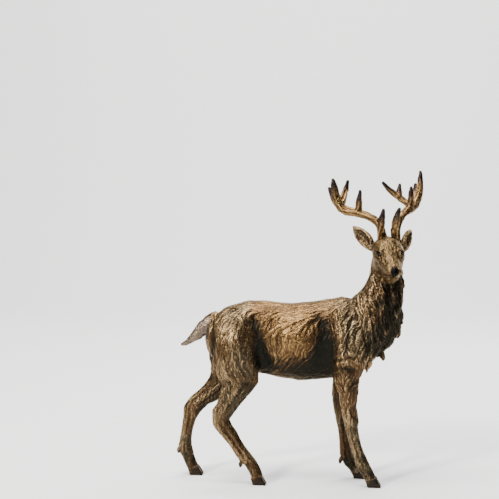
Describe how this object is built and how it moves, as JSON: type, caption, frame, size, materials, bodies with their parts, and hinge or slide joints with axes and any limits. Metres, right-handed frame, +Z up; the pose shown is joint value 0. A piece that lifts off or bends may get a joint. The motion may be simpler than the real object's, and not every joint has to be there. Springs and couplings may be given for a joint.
{
  "type": "deer statue",
  "caption": "Decorative cast statue of a standing stag with branching antlers and a shaggy ruff, looking over its right shoulder, for a shelf, hearth or floor.",
  "frame": {"origin": "on the ground under the middle of the figure's box", "axes": "+X the way the body faces, +Y the stag's left side, +Z up"},
  "size_m": [0.4294, 0.1638, 0.54],
  "materials": {
    "deer": "cast resin painted as aged bronze: dark brown in the hollows, rubbed gold on the raised hair"
  },
  "bodies": {
    "root": {"deer": "deer"}
  },
  "joints": []
}
